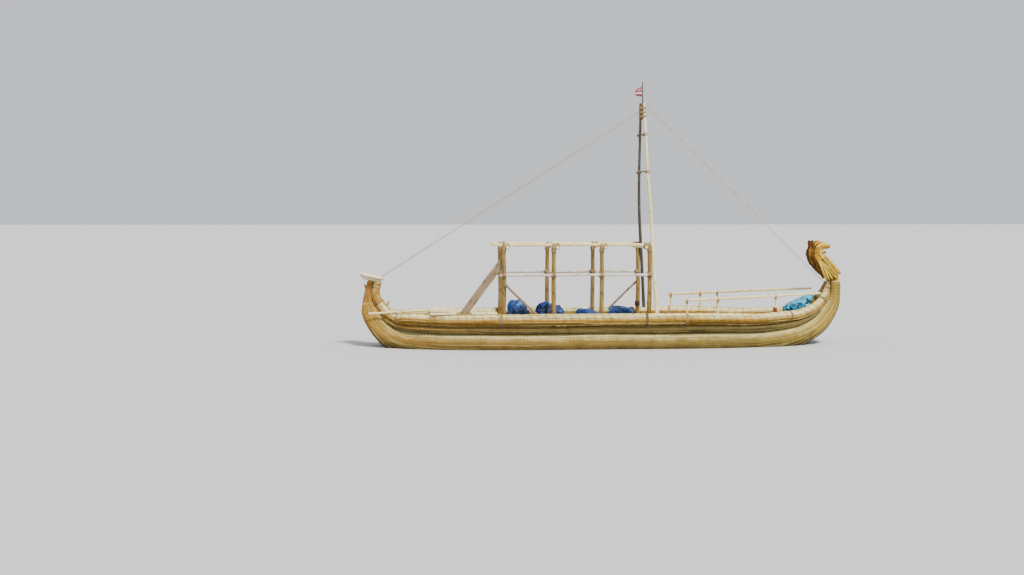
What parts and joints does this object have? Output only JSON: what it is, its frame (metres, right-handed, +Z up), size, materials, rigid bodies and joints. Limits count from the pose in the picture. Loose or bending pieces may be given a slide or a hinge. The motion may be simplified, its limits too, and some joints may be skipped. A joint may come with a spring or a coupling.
{
  "type": "reed boat",
  "caption": "Reed boat of bound bundles with upswept ends, an animal-head bow, an open pole shelter amidships, a two-legged mast and bow rails.",
  "frame": {"origin": "centre of the bounding box at the flat underside of the hull bundles", "axes": "+X to the bow, +Y to port, +Z up; afloat the water stands 0.2 m above the origin"},
  "size_m": [9.4585, 1.804, 5.29],
  "materials": {
    "hull_reed": "bound dry reeds",
    "gunwale_reed": "bound dry reeds",
    "deck_reed": "loose laid reeds",
    "cap_reed": "bleached reeds",
    "head_reed": "golden reeds",
    "post_timber": "peeled poles",
    "rail_timber": "bleached poles",
    "board_timber": "weathered boards",
    "mast_timber": "peeled poles",
    "stay_rope": "twisted rope",
    "tarpaulin": "woven plastic sheet",
    "flag_cloth": "thin cloth"
  },
  "bodies": {
    "root": {"backstay_port": "stay_rope", "backstay_starboard": "stay_rope", "bow_rail_port": "rail_timber", "bow_rail_starboard": "rail_timber", "bow_rail_sticks_port": "rail_timber", "bow_rail_sticks_starboard": "rail_timber", "brace_port": "rail_timber", "brace_starboard": "rail_timber", "core_bundle": "hull_reed", "cover_aft": "tarpaulin", "cover_bow": "tarpaulin", "cover_fore": "tarpaulin", "cover_low": "tarpaulin", "cover_middle": "tarpaulin", "cross_pole_1": "rail_timber", "cross_pole_2": "rail_timber", "cross_pole_3": "rail_timber", "cross_pole_4": "rail_timber", "deck_mat_aft": "deck_reed", "deck_mat_fore": "deck_reed", "deck_mat_middle": "deck_reed", "flag": "flag_cloth", "flagstaff": "mast_timber", "forestay": "stay_rope", "gunwale_board": "board_timber", "gunwale_bundle_port": "gunwale_reed", "gunwale_bundle_starboard": "gunwale_reed", "head_beard": "head_reed", "head_ears": "head_reed", "head_lower_jaw": "head_reed", "head_neck": "head_reed", "head_skull": "head_reed", "head_upper_jaw": "head_reed", "main_bundle_port": "hull_reed", "main_bundle_starboard": "hull_reed", "mast_leg_port": "mast_timber", "mast_leg_starboard": "mast_timber", "mast_rung_1": "mast_timber", "mast_rung_2": "mast_timber", "mid_rail_port": "rail_timber", "mid_rail_starboard": "rail_timber", "post_1_port": "post_timber", "post_1_starboard": "post_timber", "post_2_port": "post_timber", "post_2_starboard": "post_timber", "post_3_port": "post_timber", "post_3_starboard": "post_timber", "post_4_port": "post_timber", "post_4_starboard": "post_timber", "raking_plank": "board_timber", "side_bundle_port": "hull_reed", "side_bundle_starboard": "hull_reed", "stern_board_1": "board_timber", "stern_board_2": "board_timber", "stern_board_3": "board_timber", "stern_cap": "cap_reed", "stern_neck": "hull_reed", "stern_pole": "rail_timber", "top_rail_port": "rail_timber", "top_rail_starboard": "rail_timber"}
  },
  "joints": []
}
